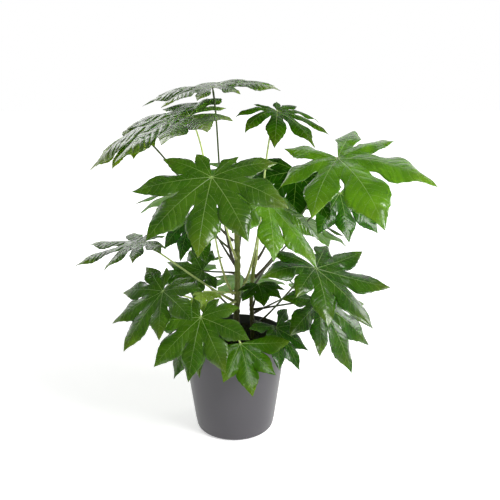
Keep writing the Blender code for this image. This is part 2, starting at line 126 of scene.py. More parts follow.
# Length of each lobe against the usual one, from the blade's right to its left, for unevenly grown leaves
LENGTHS = {
    "leaf_top": (1, 1.08, 1, 1, 1, 1, 1, 1, 1),
    "leaf_upper_left": (1, 1, 1, 1, 1, 0.86, 0.82, 0.95, 1.25),
    "leaf_far_left": (1, 1, 1, 1.05, 0.8, 0.75, 0.85),
    "leaf_right": (0.85, 0.75, 0.88, 1.06, 0.98, 0.72, 0.92),
    "leaf_front": (1, 1, 1, 1, 1, 0.86, 1, 1, 1),
    "leaf_inner_right": (1, 1, 0.92, 1.1, 0.94, 0.74, 0.8),
    "leaf_low_right": (1.4, 1.25, 0.66, 0.9, 1.04, 1.04, 0.85, 1, 1),
    "leaf_under_right": (1, 1, 0.88, 1.14, 1.16, 1.15, 1),
    "leaf_over_pot_right": (1, 0.5, 0.9, 0.9, 0.9, 1, 1),
    "leaf_left": (1, 1, 1, 1, 1, 0.8, 0.7, 1, 1),
    "leaf_low_left": (1, 1, 1, 0.86, 1, 0.84, 0.9, 1, 1),
    "leaf_inner_left": (1, 1, 0.8, 0.78, 1, 0.8, 1),
    "leaf_mid_left": (1, 1, 0.9, 1, 0.85, 0.9, 1),
    "leaf_centre_right": (0.7, 0.75, 1, 1, 0.9, 0.85, 1),
    "leaf_young": (0.6, 1, 1, 1, 1),
    "leaf_low_front": (0.8, 0.84, 1, 1, 1, 1, 1, 1, 1),
    "leaf_over_pot": (0.55, 0.80, 1, 0.92, 1),
}

# Sinus depth, lobe width and angle between lobes against the usual ones, for leaves of another form
FORMS = {
    "leaf_upper_right": (0.75, 0.80, 1),
    "leaf_left": (0.85, 0.80, 1),
    "leaf_low_right": (1.08, 1.05, 1),
    "leaf_centre_right": (1.08, 1.05, 1),
    "leaf_over_pot": (1.14, 1.12, 1),
    "leaf_right": (0.95, 1.06, 1.24),
    "leaf_mid_right": (1.10, 1.05, 1),
}

# The blade's shape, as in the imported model: lobes from the middle one out, their random spread and bend
LOBE_ANGLES = (0, 37, 75, 112, 146)
LOBE_LENGTHS = (1.0, 0.97, 0.86, 0.66, 0.42)
ANGLE_SPREAD = 1
LENGTH_SPREAD = (0.90, 1.04)
TWIST_SPREAD = 8
BEND_SPREAD = 4
SINUS = 0.40
SINUS_LEAN = 0.95
OUTER_SINUS = 1.2
OUTER_EDGE_ANGLE = 17
FOLD_DEGREES = 12
CUP_DEGREES = 10
CUP_RISE = 1.3
MIDRIB_STEPS = 24
GRAVITY_SHARE = 0.5
FREE_BEND = 1.15
BEND_EASING = 1.5

# Petioles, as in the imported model
FIT_GAP = 0.0003
CAD_BLADE_THICKNESS = 0.0010
PETIOLE_FOOT_RADIUS = 0.0032
PETIOLE_RADIUS = 0.0019
PETIOLE_OVER_BLADE = 0.0004
PETIOLE_PULLS = (0.3, 0.25)
START_OUTWARD = 0.35
START_RISE = 0.1
END_FORWARD = 0.45
END_UP = 0.40

# The finer outline: half-width of a lobe at shares of its length
LOBE_OUTLINE = (
    (0.38, 0.127),
    (0.42, 0.131),
    (0.48, 0.162),
    (0.53, 0.186),
    (0.58, 0.198),
    (0.63, 0.196),
    (0.69, 0.176),
    (0.75, 0.144),
    (0.81, 0.108),
    (0.87, 0.073),
    (0.93, 0.039),
    (0.97, 0.016),
    (1.0, 0.0),
)
OUTLINE_START = LOBE_OUTLINE[0][0]
WIDEST = 0.58
SINUS_EASING = 3
EDGE_EASING = 6

# Teeth: place along the lobe and height of each, with its rise before its point and its drop after it
TEETH = ((0.58, 0.006), (0.67, 0.012), (0.76, 0.016), (0.85, 0.008))
TOOTH_RUN = 0.07
TOOTH_DROP = 0.02
TOOTH_SHIFT = 0.03

# Grid of a lobe's points: rows as far as the sinus, rows from there to the tip, and columns on each side
PALM_ROWS = 9
LOBE_ROWS = 30
LOBE_ROW_EASING = 1.1
HALF_COLUMNS = 7
BLADE_THICKNESS = 0.0007

# Relief: the arch of each half of a lobe, the groove along its rib, and how gently they begin and end
BULGE = 0.16
LEAST_WIDTH = 0.02
PALM_FADE = 0.15
TIP_FADE = 0.25
JOIN_FADE = 0.35
RIB_GROOVE = 0.0009
RIB_GROOVE_WIDTH = 0.0022
RIB_FADE = 0.03

# Side veins, in shares of the lobe's length, and the depth of the quilting between them
VEIN_SPACING = 0.100
VEIN_LEAN = 0.55
VEIN_CURVE = 2.2
VEIN_DRIFT = 0.25
VEIN_DRIFT_RATE = 11.0
VEIN_STAGGER = 0.5
QUILT_EASING = 0.7
QUILT = 0.0026
QUILTS = {
    "leaf_top": 0.008,
    "leaf_upper_left": 0.008,
    "leaf_far_left": 0.008,
    "leaf_left": 0.008,
    "leaf_over_pot": 0.0012,
    "leaf_low_right": 0.0010,
}

# Waves of the margin: height as a share of the lobe's length, waves along each side, and where they end
MARGIN_WAVE = 0.022
WAVE_RATES = (1.5, 2.4)
WAVE_TIP = 1.02
WAVE_TIP_FADE = 0.2


def clamped(value, low=0.0, high=1.0):
    return np.minimum(np.maximum(value, low), high)


def smooth(value):
    """Smooth step from 0 at 0 to 1 at 1."""
    share = clamped(value)
    return share * share * (3 - 2 * share)


def around(radius, angle, height):
    """The point at this radius and angle about the Z axis."""
    return radius * math.cos(angle), radius * math.sin(angle), height


def leaf_frame(leaf):
    """Unit vectors along the middle lobe, to its left, and up out of the blade."""
    heading, pitch, roll = (math.radians(value) for value in (leaf.heading, leaf.pitch, leaf.roll))
    forward = Vector(around(math.cos(pitch), heading, -math.sin(pitch)))
    level = Vector((-math.sin(heading), math.cos(heading), 0))
    left = level * math.cos(roll) + forward.cross(level) * math.sin(roll)
    return forward, left, forward.cross(left)


class Lobe:
    """One lobe: its midrib as a bent curve with a frame at each step, and the relief of its surface."""

    def __init__(self, leaf, side, rank, extra_bend, extra_length, state):
        cut, self.slim, spread = FORMS.get(leaf.name, (1, 1, 1))
        turned = state.uniform(-ANGLE_SPREAD, ANGLE_SPREAD) * (rank > 0)
        self.angle = side * LOBE_ANGLES[rank] * spread + turned
        self.length = leaf.reach * LOBE_LENGTHS[rank] * state.uniform(*LENGTH_SPREAD) * extra_length
        self.twist = math.radians(state.uniform(-TWIST_SPREAD, TWIST_SPREAD))
        self.sinus = SINUS * cut
        forward, left, up = leaf_frame(leaf)
        angle = math.radians(self.angle)
        root = forward * math.cos(angle) + left * math.sin(angle)
        pull = up * (GRAVITY_SHARE - 1) - Vector((0, 0, GRAVITY_SHARE))
        down = pull - root * pull.dot(root)
        bend = math.radians(leaf.droop + extra_bend + state.uniform(-BEND_SPREAD, BEND_SPREAD))
        bend *= min(1, down.length * FREE_BEND)
        cup = math.radians(CUP_DEGREES) * min(1, (1 - math.cos(angle)) / CUP_RISE)
        axis = root.cross(down.normalized())
        side_start = up.cross(root)
        step = self.length / MIDRIB_STEPS
        place = Vector(leaf.centre)
        places, sides, ups = [place.copy()], [], []
        for index in range(MIDRIB_STEPS + 1):
            share = index / MIDRIB_STEPS
            turn = Matrix.Rotation(bend * share**BEND_EASING - cup * (1 - share), 3, axis)
            along = turn @ root
            twist = Matrix.Rotation(self.twist * share**BEND_EASING, 3, along)
            sides.append(twist @ turn @ side_start)
            ups.append(twist @ turn @ up)
            place = place + along * step
            places.append(place)
        self.places = np.array(places[:-1])
        self.sides = np.array(sides)
        self.ups = np.array(ups)
        self.quilt = self.length * QUILTS.get(leaf.name, QUILT)
        own = random.Random(f"{leaf.name} {side * rank}")
        self.wave_starts = (own.uniform(0, math.tau), own.uniform(0, math.tau))
        self.wave_rates = (own.uniform(*WAVE_RATES), own.uniform(*WAVE_RATES))

    def at(self, along, across):
        """Points of the blade at distances along the midrib and across it, positive to the left."""
        place = clamped(along / self.length * MIDRIB_STEPS, 0, MIDRIB_STEPS)
        index = np.minimum(place.astype(int), MIDRIB_STEPS - 1)
        share = (place - index)[..., None]
        on_rib, side, up = (
            rows[index] * (1 - share) + rows[index + 1] * share
            for rows in (self.places, self.sides, self.ups)
        )
        fold = math.radians(FOLD_DEGREES)
        rise = self.relief(along, across) - np.abs(across) * math.sin(fold)
        return on_rib + side * (across * math.cos(fold))[..., None] + up * rise[..., None]

    def relief(self, along, across):
        """Height over the folded sheet: an arch, the ribs' grooves, quilting and waved margins."""
        x = along / self.length
        y = np.abs(across) / self.length
        width = np.maximum(self.width(np.maximum(x, self.sinus)), LEAST_WIDTH)
        over_blade = clamped(y / width)
        off_palm = smooth(x / PALM_FADE)
        arch = BULGE * self.length * width * np.sin(math.pi * over_blade) / math.pi * off_palm
        groove = -RIB_GROOVE * np.exp(-((y * self.length / RIB_GROOVE_WIDTH) ** 2)) * (1 - x)
        left = across > 0
        vein = (x - VEIN_LEAN * y - VEIN_CURVE * y**2) / VEIN_SPACING
        vein += VEIN_DRIFT * np.sin(VEIN_DRIFT_RATE * x) + VEIN_STAGGER * left
        quilt = self.quilt * (np.abs(np.sin(math.pi * vein)) ** QUILT_EASING - 1)
        quilt *= smooth(y / RIB_FADE) * smooth((1 - x) / TIP_FADE) * off_palm
        start = np.where(left, *self.wave_starts)
        rate = np.where(left, *self.wave_rates)
        wave = MARGIN_WAVE * self.length * np.sin(math.tau * rate * x + start) * over_blade**3
        wave *= smooth((x - self.sinus) / PALM_FADE) * smooth((WAVE_TIP - x) / WAVE_TIP_FADE)
        return arch + groove + quilt + wave

    def width(self, x):
        """Half-width as a share of the length. Below the widest place it is stretched to the sinus."""
        stretch = (WIDEST - OUTLINE_START) / (WIDEST - self.sinus * SINUS_LEAN)
        return self.slim * outline_width(np.where(x < WIDEST, WIDEST - (WIDEST - x) * stretch, x))

    def toothed_width(self, x, shift):
        """Half-width with the margin's teeth: each rises slowly and drops at its point."""
        width = self.width(x)
        for place, height in TEETH:
            before = x - (place + shift)
            rise = clamped(1 + before / TOOTH_RUN) ** 2 * (before <= 0)
            drop = clamped(1 - before / TOOTH_DROP) * (before > 0)
            width = width + height * (rise + drop)
        return np.maximum(width, 0)


def outline_width(x):
    """Half-width of a lobe, as a share of its length, on a smooth curve through LOBE_OUTLINE."""
    xs, widths = np.array(LOBE_OUTLINE).T
    slopes = np.gradient(widths, xs)
    index = np.clip(np.searchsorted(xs, x) - 1, 0, len(xs) - 2)
    span = xs[index + 1] - xs[index]
    t = clamped((x - xs[index]) / span)
    start = widths[index] * (1 + 2 * t) * (1 - t) ** 2 + slopes[index] * span * t * (1 - t) ** 2
    end = widths[index + 1] * t**2 * (3 - 2 * t) + slopes[index + 1] * span * t**2 * (t - 1)
    return np.maximum(start + end, 0)


def lobes_of(leaf):
    """The leaf's lobes from its right to its left."""
    bends = BENDS.get(leaf.name, [0] * leaf.lobes)
    lengths = LENGTHS.get(leaf.name, [1] * leaf.lobes)
    ranks = (leaf.lobes - 1) // 2
    order = [(-1, rank) for rank in range(ranks, 0, -1)] + [(1, rank) for rank in range(ranks + 1)]
    state = random.Random(leaf.name)
    return [
        Lobe(leaf, side, rank, bends[index], lengths[index], state)
        for index, (side, rank) in enumerate(order)
    ]


def lobe_grid(lobes, index):
    """Places along and across a lobe of its grid's points: rows to the tip, columns right to left."""
    lobe = lobes[index]
    state = random.Random(round(lobe.length * 1e6))
    edges, shifts = [], []
    for side, other in ((-1, index - 1), (1, index + 1)):
        if 0 <= other < len(lobes):
            half = math.radians(abs(lobes[other].angle - lobe.angle)) / 2
            reach = lobe.sinus * (lobes[other].length + lobe.length) / 2
        else:
            half = math.radians(OUTER_EDGE_ANGLE)
            reach = lobe.sinus * lobe.length * OUTER_SINUS
        edges.append((reach * math.cos(half), side * reach * math.sin(half)))
        shifts.append(state.uniform(-TOOTH_SHIFT, TOOTH_SHIFT))
    columns = np.linspace(-1, 1, 2 * HALF_COLUMNS + 1)
    weight = np.abs(columns)
    edge_x = np.where(columns < 0, edges[0][0], edges[1][0])
    edge_y = np.where(columns < 0, -edges[0][1], edges[1][1])
    sinus = lobe.sinus * lobe.length
    end_x = sinus * (1 - weight) + edge_x * weight
    end_y = edge_y * columns
    palm = np.linspace(0, 1, PALM_ROWS + 1)[1:, None]
    share = np.linspace(0, 1, LOBE_ROWS + 1)[1:, None] ** LOBE_ROW_EASING
    rib = sinus + (lobe.length - sinus) * share
    near_sinus = (1 - share) ** SINUS_EASING
    along = rib + (end_x - sinus) * near_sinus
    outer_x = rib + (edge_x - sinus) * near_sinus
    width = np.where(
        columns < 0,
        lobe.toothed_width(outer_x / lobe.length, shifts[0]),
        lobe.toothed_width(outer_x / lobe.length, shifts[1]),
    )
    # The outline starts at the sinus, which is a little nearer or further than the curve's own width there
    miss = edge_y / lobe.length - lobe.width(edge_x / lobe.length)
    width = width + miss * (1 - share) ** EDGE_EASING
    across = np.maximum(width, 0) * lobe.length * columns
    return np.vstack([palm * end_x, along]), np.vstack([palm * end_y, across])


def blended(lobes, index, along, across):
    """Points of a lobe's grid, blended with the next lobe's surface near the line between them."""
    lobe = lobes[index]
    points = lobe.at(along, across)
    radius = np.hypot(along, across)
    angle = np.degrees(np.arctan2(across, along))
    for other in (index - 1, index + 1):
        if not 0 <= other < len(lobes):
            continue
        spread = lobes[other].angle - lobe.angle
        reach = lobe.sinus * (lobes[other].length + lobe.length) / 2
        turned = np.radians(angle - spread)
        beside = lobes[other].at(radius * np.cos(turned), radius * np.sin(turned))
        near = 0.5 * smooth(angle / (spread / 2)) * (1 - smooth((radius / reach - 1) / JOIN_FADE))
        points = points + (beside - points) * near[..., None]
    return points


def blade_grids(leaf):
    """Each lobe's points, with their places along and across it as shares of its length."""
    lobes = lobes_of(leaf)
    grids = []
    for index in range(len(lobes)):
        along, across = lobe_grid(lobes, index)
        points = blended(lobes, index, along, across)
        grids.append((points, along / lobes[index].length, across / lobes[index].length))
    return grids


def blade_mesh(leaf):
    """Points, faces and their UVs of the blade's middle surface, and the loop of its margin."""
    points = [np.array(leaf.centre)[None]]
    numbers = []
    count = 1
    grids = blade_grids(leaf)
    for index, (grid, _, _) in enumerate(grids):
        rows, columns = grid.shape[:2]
        number = np.arange(count, count + rows * columns).reshape(rows, columns)
        count += rows * columns
        if index:
            number[:PALM_ROWS, 0] = numbers[-1][:PALM_ROWS, -1]
        number[-1, :] = number[-1, columns // 2]
        points.append(grid.reshape(-1, 3))
        numbers.append(number)
    points = np.vstack(points)
    faces, uvs = [], []
    for number, (_, x, y) in zip(numbers, grids):
        rows, columns = number.shape
        for column in range(columns - 1):
            faces.append((0, number[0, column], number[0, column + 1]))
            uvs.append(((0, 0), (x[0, column], y[0, column]), (x[0, column + 1], y[0, column + 1])))
        for row in range(rows - 1):
            for column in range(columns - 1):
                corners = ((row, column), (row + 1, column), (row + 1, column + 1), (row, column + 1))
                if row == rows - 2:
                    corners = corners[:2] + corners[3:]
                faces.append(tuple(number[at] for at in corners))
                uvs.append(tuple((x[at], y[at]) for at in corners))
    margin = [0]
    for index, number in enumerate(numbers):
        start = 0 if index == 0 else PALM_ROWS
        end = 0 if index == len(numbers) - 1 else PALM_ROWS - 1
        margin += list(number[start:, 0]) + list(number[:-1, -1][::-1][: len(number) - 1 - end])
    return points, faces, uvs, margin


def surface_normals(points, faces):
    """Unit normal at each point, averaged over the faces round it."""
    normals = np.zeros_like(points)
    triangles = np.array([face[:3] for face in faces] + [(face[0], face[2], face[-1]) for face in faces])
    a, b, c = (points[triangles[:, corner]] for corner in range(3))
    crosses = np.cross(b - a, c - a)
    for corner in range(3):
        np.add.at(normals, triangles[:, corner], crosses)
    lengths = np.linalg.norm(normals, axis=1, keepdims=True)
    return normals / np.maximum(lengths, 1e-12)


def tube(path, radii, sides):
    """Points and faces of a closed tube along path, with flat ends."""
    points, faces = [], []
    mostly_x = abs((path[1] - path[0]).normalized().x) > 0.9
    across = Vector((0, 1, 0)) if mostly_x else Vector((1, 0, 0))
    for index, centre in enumerate(path):
        before = path[max(index - 1, 0)]
        after = path[min(index + 1, len(path) - 1)]
        along = (after - before).normalized()
        across = (across - along * across.dot(along)).normalized()
        beside = along.cross(across)
        for side in range(sides):
            angle = math.tau * side / sides
            points.append(centre + radii[index] * (across * math.cos(angle) + beside * math.sin(angle)))
    for row in range(len(path) - 1):
        for side in range(sides):
            a, b = row * sides + side, row * sides + (side + 1) % sides
            faces.append((a, b, b + sides, a + sides))
    faces.append(tuple(reversed(range(sides))))
    faces.append(tuple(range((len(path) - 1) * sides, len(path) * sides)))
    return points, faces


def stem_spline(stem, share):
    """Point on the stem's smooth centre line, share 0 at its foot and 1 at its top."""
    path = [Vector(point) for point in stem.path]
    place = min(max(share, 0), 1) * (len(path) - 1)
    index = min(int(place), len(path) - 2)
    t = place - index
    start, end = path[index], path[index + 1]
    before = path[index - 1] if index else start * 2 - end
    after = path[index + 2] if index + 2 < len(path) else end * 2 - start
    bow = (before * 2 - start * 5 + end * 4 - after) * t**2
    twist = (start * 3 - before - end * 3 + after) * t**3
    return (start * 2 + (end - before) * t + bow + twist) / 2


HALVINGS = 24


def stem_share(stem, height):
    """Share along the stem at which its centre line reaches this height."""
    low, high = 0.0, 1.0
    for _ in range(HALVINGS):
        middle = (low + high) / 2
        if stem_spline(stem, middle).z < height:
            low = middle
        else:
            high = middle
    return low


def stem_radius(stem, share):
    return stem.foot_radius + (stem.top_radius - stem.foot_radius) * share


PETIOLE_ROWS = 28
PETIOLE_SIDES = 14
PETIOLE_SWELL_RATE = 3
PETIOLE_SWELL_EASING = 1.5
PETIOLE_FLARE = 0.0006
FLARE_START = 0.94
PETIOLE_TIP = 0.5


def petiole_path(leaf):
    """Centre line of the petiole from its stem to the blade's centre."""
    stem = STEMS[leaf.stem]
    share = stem_share(stem, leaf.joint)
    joint = stem_spline(stem, share)
    centre = Vector(leaf.centre)
    outward = Vector((centre.x - joint.x, centre.y - joint.y, 0)).normalized()
    forward, _, up = leaf_frame(leaf)
    rise = Vector((0, 0, 1))
    chord = (centre - joint).normalized()
    start_way = (outward * START_OUTWARD + rise * START_RISE + chord).normalized()
    lean = start_way.z
    start = joint + outward * (stem_radius(stem, share) + FIT_GAP + PETIOLE_FOOT_RADIUS * lean)
    end_way = (forward * END_FORWARD + up * END_UP + chord).normalized()
    end = centre + up * (CAD_BLADE_THICKNESS / 2 + PETIOLE_OVER_BLADE)
    span = (end - start).length
    first = start + start_way * span * PETIOLE_PULLS[0]
    second = end - end_way * span * PETIOLE_PULLS[1]
    path = []
    for row in range(PETIOLE_ROWS + 1):
        t = row / PETIOLE_ROWS
        s = 1 - t
        path.append(start * s**3 + first * (3 * s * s * t) + second * (3 * s * t * t) + end * t**3)
    return path


def petiole_radii():
    """Radii along the petiole: swollen at its foot, flared near the blade, and half as wide at its end."""
    foot = PETIOLE_FOOT_RADIUS - PETIOLE_RADIUS
    radii = []
    for row in range(PETIOLE_ROWS + 1):
        share = row / PETIOLE_ROWS
        swell = max(0, 1 - PETIOLE_SWELL_RATE * share) ** PETIOLE_SWELL_EASING
        flare = PETIOLE_FLARE * max(0, (share - FLARE_START) / (1 - FLARE_START))
        radii.append(PETIOLE_RADIUS + foot * swell + flare)
    radii[-1] = PETIOLE_RADIUS * PETIOLE_TIP
    return radii


def smooth_mesh(name, points, faces):
    mesh = bpy.data.meshes.new(name)
    mesh.from_pydata(points, [], faces)
    mesh.polygons.foreach_set("use_smooth", [True] * len(faces))
    return mesh


def add_object(name, data, *surfaces):
    obj = bpy.data.objects.new(name, data)
    bpy.context.scene.collection.objects.link(obj)
    for surface in surfaces:
        data.materials.append(surface)
    return obj


UPPER, UNDER, STALK = range(3)
MARGIN_UV = (0.5, 0.1)


def leaf_geometry(leaf):
    """Points of the closed thin blade and its petiole, with each face's corners, UVs and material slot."""
    middle, faces, uvs, margin = blade_mesh(leaf)
    normals = surface_normals(middle, faces)
    half = normals * BLADE_THICKNESS / 2
    count = len(middle)
    points = np.vstack([middle + half, middle - half])
    all_faces = faces + [tuple(corner + count for corner in reversed(face)) for face in faces]
    all_uvs = uvs + [tuple(reversed(corners)) for corners in uvs]
    slots = [UPPER] * len(faces) + [UNDER] * len(faces)
    for a, b in zip(margin, margin[1:] + margin[:1]):
        all_faces.append((a, a + count, b + count, b))
        slots.append(UPPER)
        all_uvs.append((MARGIN_UV,) * 4)
    stalk_points, stalk_faces = tube(petiole_path(leaf), petiole_radii(), PETIOLE_SIDES)
    base = len(points)
    points = np.vstack([points, np.array([tuple(point) for point in stalk_points])])
    for face in stalk_faces:
        all_faces.append(tuple(corner + base for corner in face))
        slots.append(STALK)
        all_uvs.append(tuple(((corner // PETIOLE_SIDES) / PETIOLE_ROWS, 0.0) for corner in face))
    used = np.unique([corner for face in all_faces for corner in face])
    renumber = np.zeros(len(points), int)
    renumber[used] = np.arange(len(used))
    all_faces = [tuple(int(renumber[corner]) for corner in face) for face in all_faces]
    return points[used].tolist(), all_faces, all_uvs, slots


def build_leaf(leaf, upper, under, stalk):
    """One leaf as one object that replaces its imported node."""
    points, faces, uvs, slots = leaf_geometry(leaf)
    mesh = smooth_mesh(leaf.name + "_fine", points, faces)
    layer = mesh.uv_layers.new(name="lobe")
    layer.data.foreach_set("uv", np.array([uv for face in uvs for uv in face], np.float32).ravel())
    mesh.polygons.foreach_set("material_index", slots)
    mesh.validate()
    obj = add_object(leaf.name + "_fine", mesh, upper, under, stalk)
    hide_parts(leaf.name)
    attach(obj, "root")


class Nodes:
    """Short forms for building the node tree of a material or a world round its main node."""

    def __init__(self, owner, main="Principled BSDF"):
        self.owner = owner
        owner.use_nodes = True
        self.tree = owner.node_tree
        self.main = self.tree.nodes[main]

    def add(self, kind, **inputs):
        node = self.tree.nodes.new(kind)
        for key, value in inputs.items():
            self.put(value, node.inputs[key.replace("_", " ")])
        return node

    def put(self, value, socket):
        """Link an output to the socket, or set its value. A colour gets full alpha."""
        if isinstance(value, bpy.types.NodeSocket):
            self.tree.links.new(value, socket)
        elif socket.type == "RGBA":
            socket.default_value = (*value, 1)
        else:
            socket.default_value = value

    def math(self, operation, *values, clamp=False):
        node = self.tree.nodes.new("ShaderNodeMath")
        node.operation = operation
        node.use_clamp = clamp
        for value, socket in zip(values, node.inputs):
            self.put(value, socket)
        return node.outputs[0]

    def times(self, first, second):
        return self.math("MULTIPLY", first, second)

    def plus(self, first, second):
        return self.math("ADD", first, second)

    def rest(self, share):
        """What a share leaves of 1."""
        return self.math("SUBTRACT", 1.0, share)

    def step(self, value, low, high):
        """Smooth share of the way of value from low to high."""
        node = self.add("ShaderNodeMapRange", Value=value, From_Min=low, From_Max=high)
        node.interpolation_type = "SMOOTHSTEP"
        return node.outputs["Result"]

    def mix(self, share, first, second, colours=True):
        """Mix two colours or two numbers. The node has its own sockets for each kind."""
        node = self.tree.nodes.new("ShaderNodeMix")
        node.data_type = "RGBA" if colours else "FLOAT"
        start = 6 if colours else 2
        self.put(share, node.inputs[0])
        self.put(first, node.inputs[start])
        self.put(second, node.inputs[start + 1])
        return node.outputs[2 if colours else 0]

    def object_place(self):
        return self.add("ShaderNodeTexCoord").outputs["Object"]

    def lobe_place(self):
        """Places along and across the lobe, as shares of its length, from the leaf's UV map."""
        uv = self.add("ShaderNodeUVMap")
        uv.uv_map = "lobe"
        split = self.add("ShaderNodeSeparateXYZ", Vector=uv.outputs["UV"])
        return split.outputs["X"], split.outputs["Y"]

    def noise(self, scale, detail, place=None):
        if place is None:
            place = self.object_place()
        node = self.add("ShaderNodeTexNoise", Scale=scale, Detail=detail, Vector=place)
        return node.outputs["Fac"]

    def bump(self, height, strength, distance):
        node = self.add("ShaderNodeBump", Strength=strength, Distance=distance, Height=height)
        self.set(Normal=node.outputs["Normal"])

    def set(self, **inputs):
        for key, value in inputs.items():
            self.put(value, self.main.inputs[key.replace("_", " ")])


def new_material(name):
    return Nodes(bpy.data.materials.new(name))


# Scales of the leaf's noises and net, per metre
BLOTCHES = 26.0
SPECKS = 420.0
AGED_PATCHES = 9.0
BROAD_WAVES = 34.0
NET = 210.0

# Half-width of the rib's colour at the leaf's centre and its change along the lobe, and shared colours
UPPER_RIB = (0.0066, -0.0046)
UNDER_RIB = (0.010, -0.007)
RIB_COLOUR = (0.26, 0.36, 0.12)
DRY_TIP = (0.06, 0.035, 0.012)
UNDER_MOTTLE = (0.14, 0.24, 0.04)
SUBSURFACE = {"Subsurface_Radius": (0.7, 1.0, 0.12), "Subsurface_Scale": 0.004}


def rib_share(n, x, y, width, taper):
    """1 on the midrib and 0 off it. Its half-width at the leaf's centre changes by taper to the tip."""
    half = n.math("MULTIPLY_ADD", x, taper, width)
    return n.rest(n.step(n.math("DIVIDE", y, half), 0.35, 1.0))


def vein_number(n, x, y, across):
    """A whole number on each side vein, and shares between them, as in Lobe.relief."""
    lean = n.times(y, n.math("MULTIPLY_ADD", y, VEIN_CURVE, VEIN_LEAN))
    vein = n.math("DIVIDE", n.math("SUBTRACT", x, lean), VEIN_SPACING)
    drift = n.times(n.math("SINE", n.times(x, VEIN_DRIFT_RATE)), VEIN_DRIFT)
    stagger = n.times(n.math("GREATER_THAN", across, 0.0), VEIN_STAGGER)
    return n.plus(n.plus(vein, drift), stagger)


def leaf_upper(name, dark, light, tip, aging, gloss, pleats, relief):
    """Glossy upper face: mottled green with pale ribs, sunk side veins, a fine net and aged tips."""
    n = new_material(name)
    x, across = n.lobe_place()
    y = n.math("ABSOLUTE", across)
    on_rib = n.times(rib_share(n, x, y, *UPPER_RIB), n.math("MULTIPLY_ADD", x, -0.5, 0.95))
    vein = vein_number(n, x, y, across)
    off_vein = n.math("PINGPONG", vein, 0.5)
    fading = n.rest(n.step(y, 0.04, 0.20))
    on_vein = n.times(n.rest(n.step(off_vein, 0.01, 0.06)), fading)
    veins = n.math("MAXIMUM", on_rib, n.times(on_vein, 0.26), clamp=True)
    # Colour: blotches and specks, then aged tips, pale ribs and veins, and a dry point
    fine = n.noise(SPECKS, 3.0)
    green = n.mix(n.step(n.noise(BLOTCHES, 3.0), 0.35, 0.68), dark, light)
    green = n.mix(n.times(n.step(fine, 0.45, 0.75), 0.10), green, light)
    patches = n.step(n.noise(AGED_PATCHES, 2.0), 0.60 - aging, 0.80 - aging)
    aged = n.times(n.step(x, 0.60, 1.05), patches)
    green = n.mix(n.times(aged, 0.8), green, tip)
    colour = n.mix(veins, green, RIB_COLOUR)
    colour = n.mix(n.step(n.plus(x, y), 0.05, 0.02), colour, RIB_COLOUR)
    colour = n.mix(n.step(x, 0.985, 1.0), colour, DRY_TIP)
    roughness = n.math("MULTIPLY_ADD", fine, 0.16, 0.17)
    n.set(Base_Color=colour, Roughness=roughness, Specular_IOR_Level=gloss)
    n.set(Subsurface_Weight=0.40, **SUBSURFACE)
    # Relief: pleats between veins, ribs, the net's small pillows, streaks along the veins and broad waves
    broad = n.noise(BROAD_WAVES, 2.0)
    pleat = n.times(n.step(off_vein, 0.0, 0.34), n.rest(n.step(x, 0.75, 1.0)))
    pleat = n.times(pleat, n.step(broad, 0.30, 0.62))
    height = n.plus(n.times(pleat, pleats), n.times(on_rib, -0.5))
    net = n.add("ShaderNodeTexVoronoi", Vector=n.object_place(), Scale=NET)
    net.feature = "DISTANCE_TO_EDGE"
    pillow = n.times(n.step(net.outputs["Distance"], 0.0, 0.25), 0.07)
    along_veins = n.add(
        "ShaderNodeCombineXYZ",
        X=n.times(vein, 1.6),
        Y=n.times(y, 7.0),
        Z=n.times(n.noise(7.0, 1.0), 3.0),
    )
    streak = n.noise(1.0, 2.0, along_veins.outputs["Vector"])
    height = n.plus(height, n.plus(pillow, n.times(streak, 0.9)))
    n.bump(n.plus(height, n.times(broad, 1.8)), 0.8, relief)
    return n.owner


def leaf_under(name, colour, rib):
    """Paler, matt underside with raised ribs."""
    n = new_material(name)
    x, across = n.lobe_place()
    on_rib = rib_share(n, x, n.math("ABSOLUTE", across), *UNDER_RIB)
    fine = n.noise(300.0, 3.0)
    mottled = n.mix(n.times(fine, 0.5), colour, UNDER_MOTTLE)
    n.set(Base_Color=n.mix(on_rib, mottled, rib), Roughness=0.6)
    n.set(Subsurface_Weight=0.6, **SUBSURFACE)
    n.bump(n.plus(fine, on_rib), 0.4, 0.0006)
    return n.owner


def petiole_surface(name, foot, top):
    """Smooth stalk with faint streaks, whose foot's colour changes to its top's over its lower half."""
    n = new_material(name)
    x, _ = n.lobe_place()
    streak = n.noise(120.0, 3.0)
    colour = n.mix(n.step(x, 0.0, 0.45), foot, top)
    colour = n.mix(n.times(n.step(streak, 0.5, 0.8), 0.35), colour, (0.10, 0.11, 0.03))
    n.set(Base_Color=colour, Roughness=0.38)
    n.bump(streak, 0.15, 0.0004)
    return n.owner


def bark_surface(name, low, high):
    """Stem skin: brown below and olive above, with dark streaks and pale specks."""
    n = new_material(name)
    split = n.add("ShaderNodeSeparateXYZ", Vector=n.object_place())
    streak = n.noise(160.0, 5.0)
    speck = n.step(n.noise(700.0, 2.0), 0.62, 0.70)
    colour = n.mix(n.step(split.outputs["Z"], 0.22, 0.36), low, high)
    colour = n.mix(n.times(n.step(streak, 0.4, 0.7), 0.5), colour, (0.09, 0.065, 0.03))
    colour = n.mix(n.times(speck, 0.35), colour, (0.38, 0.33, 0.20))
    n.set(Base_Color=colour, Roughness=0.62)
    n.bump(n.plus(streak, n.times(speck, 0.4)), 0.5, 0.0008)
    return n.owner


def pot_surface():
    """Dark grey satin plastic with a fine moulded grain."""
    n = new_material("pot_satin")
    grain = n.noise(900.0, 2.0)
    colour = n.mix(n.noise(9.0, 3.0), (0.066, 0.063, 0.071), (0.084, 0.079, 0.089))
    n.set(Base_Color=colour, Roughness=n.math("MULTIPLY_ADD", grain, 0.10, 0.33), Specular_IOR_Level=0.4)
    n.bump(grain, 0.06, 0.0003)
    return n.owner


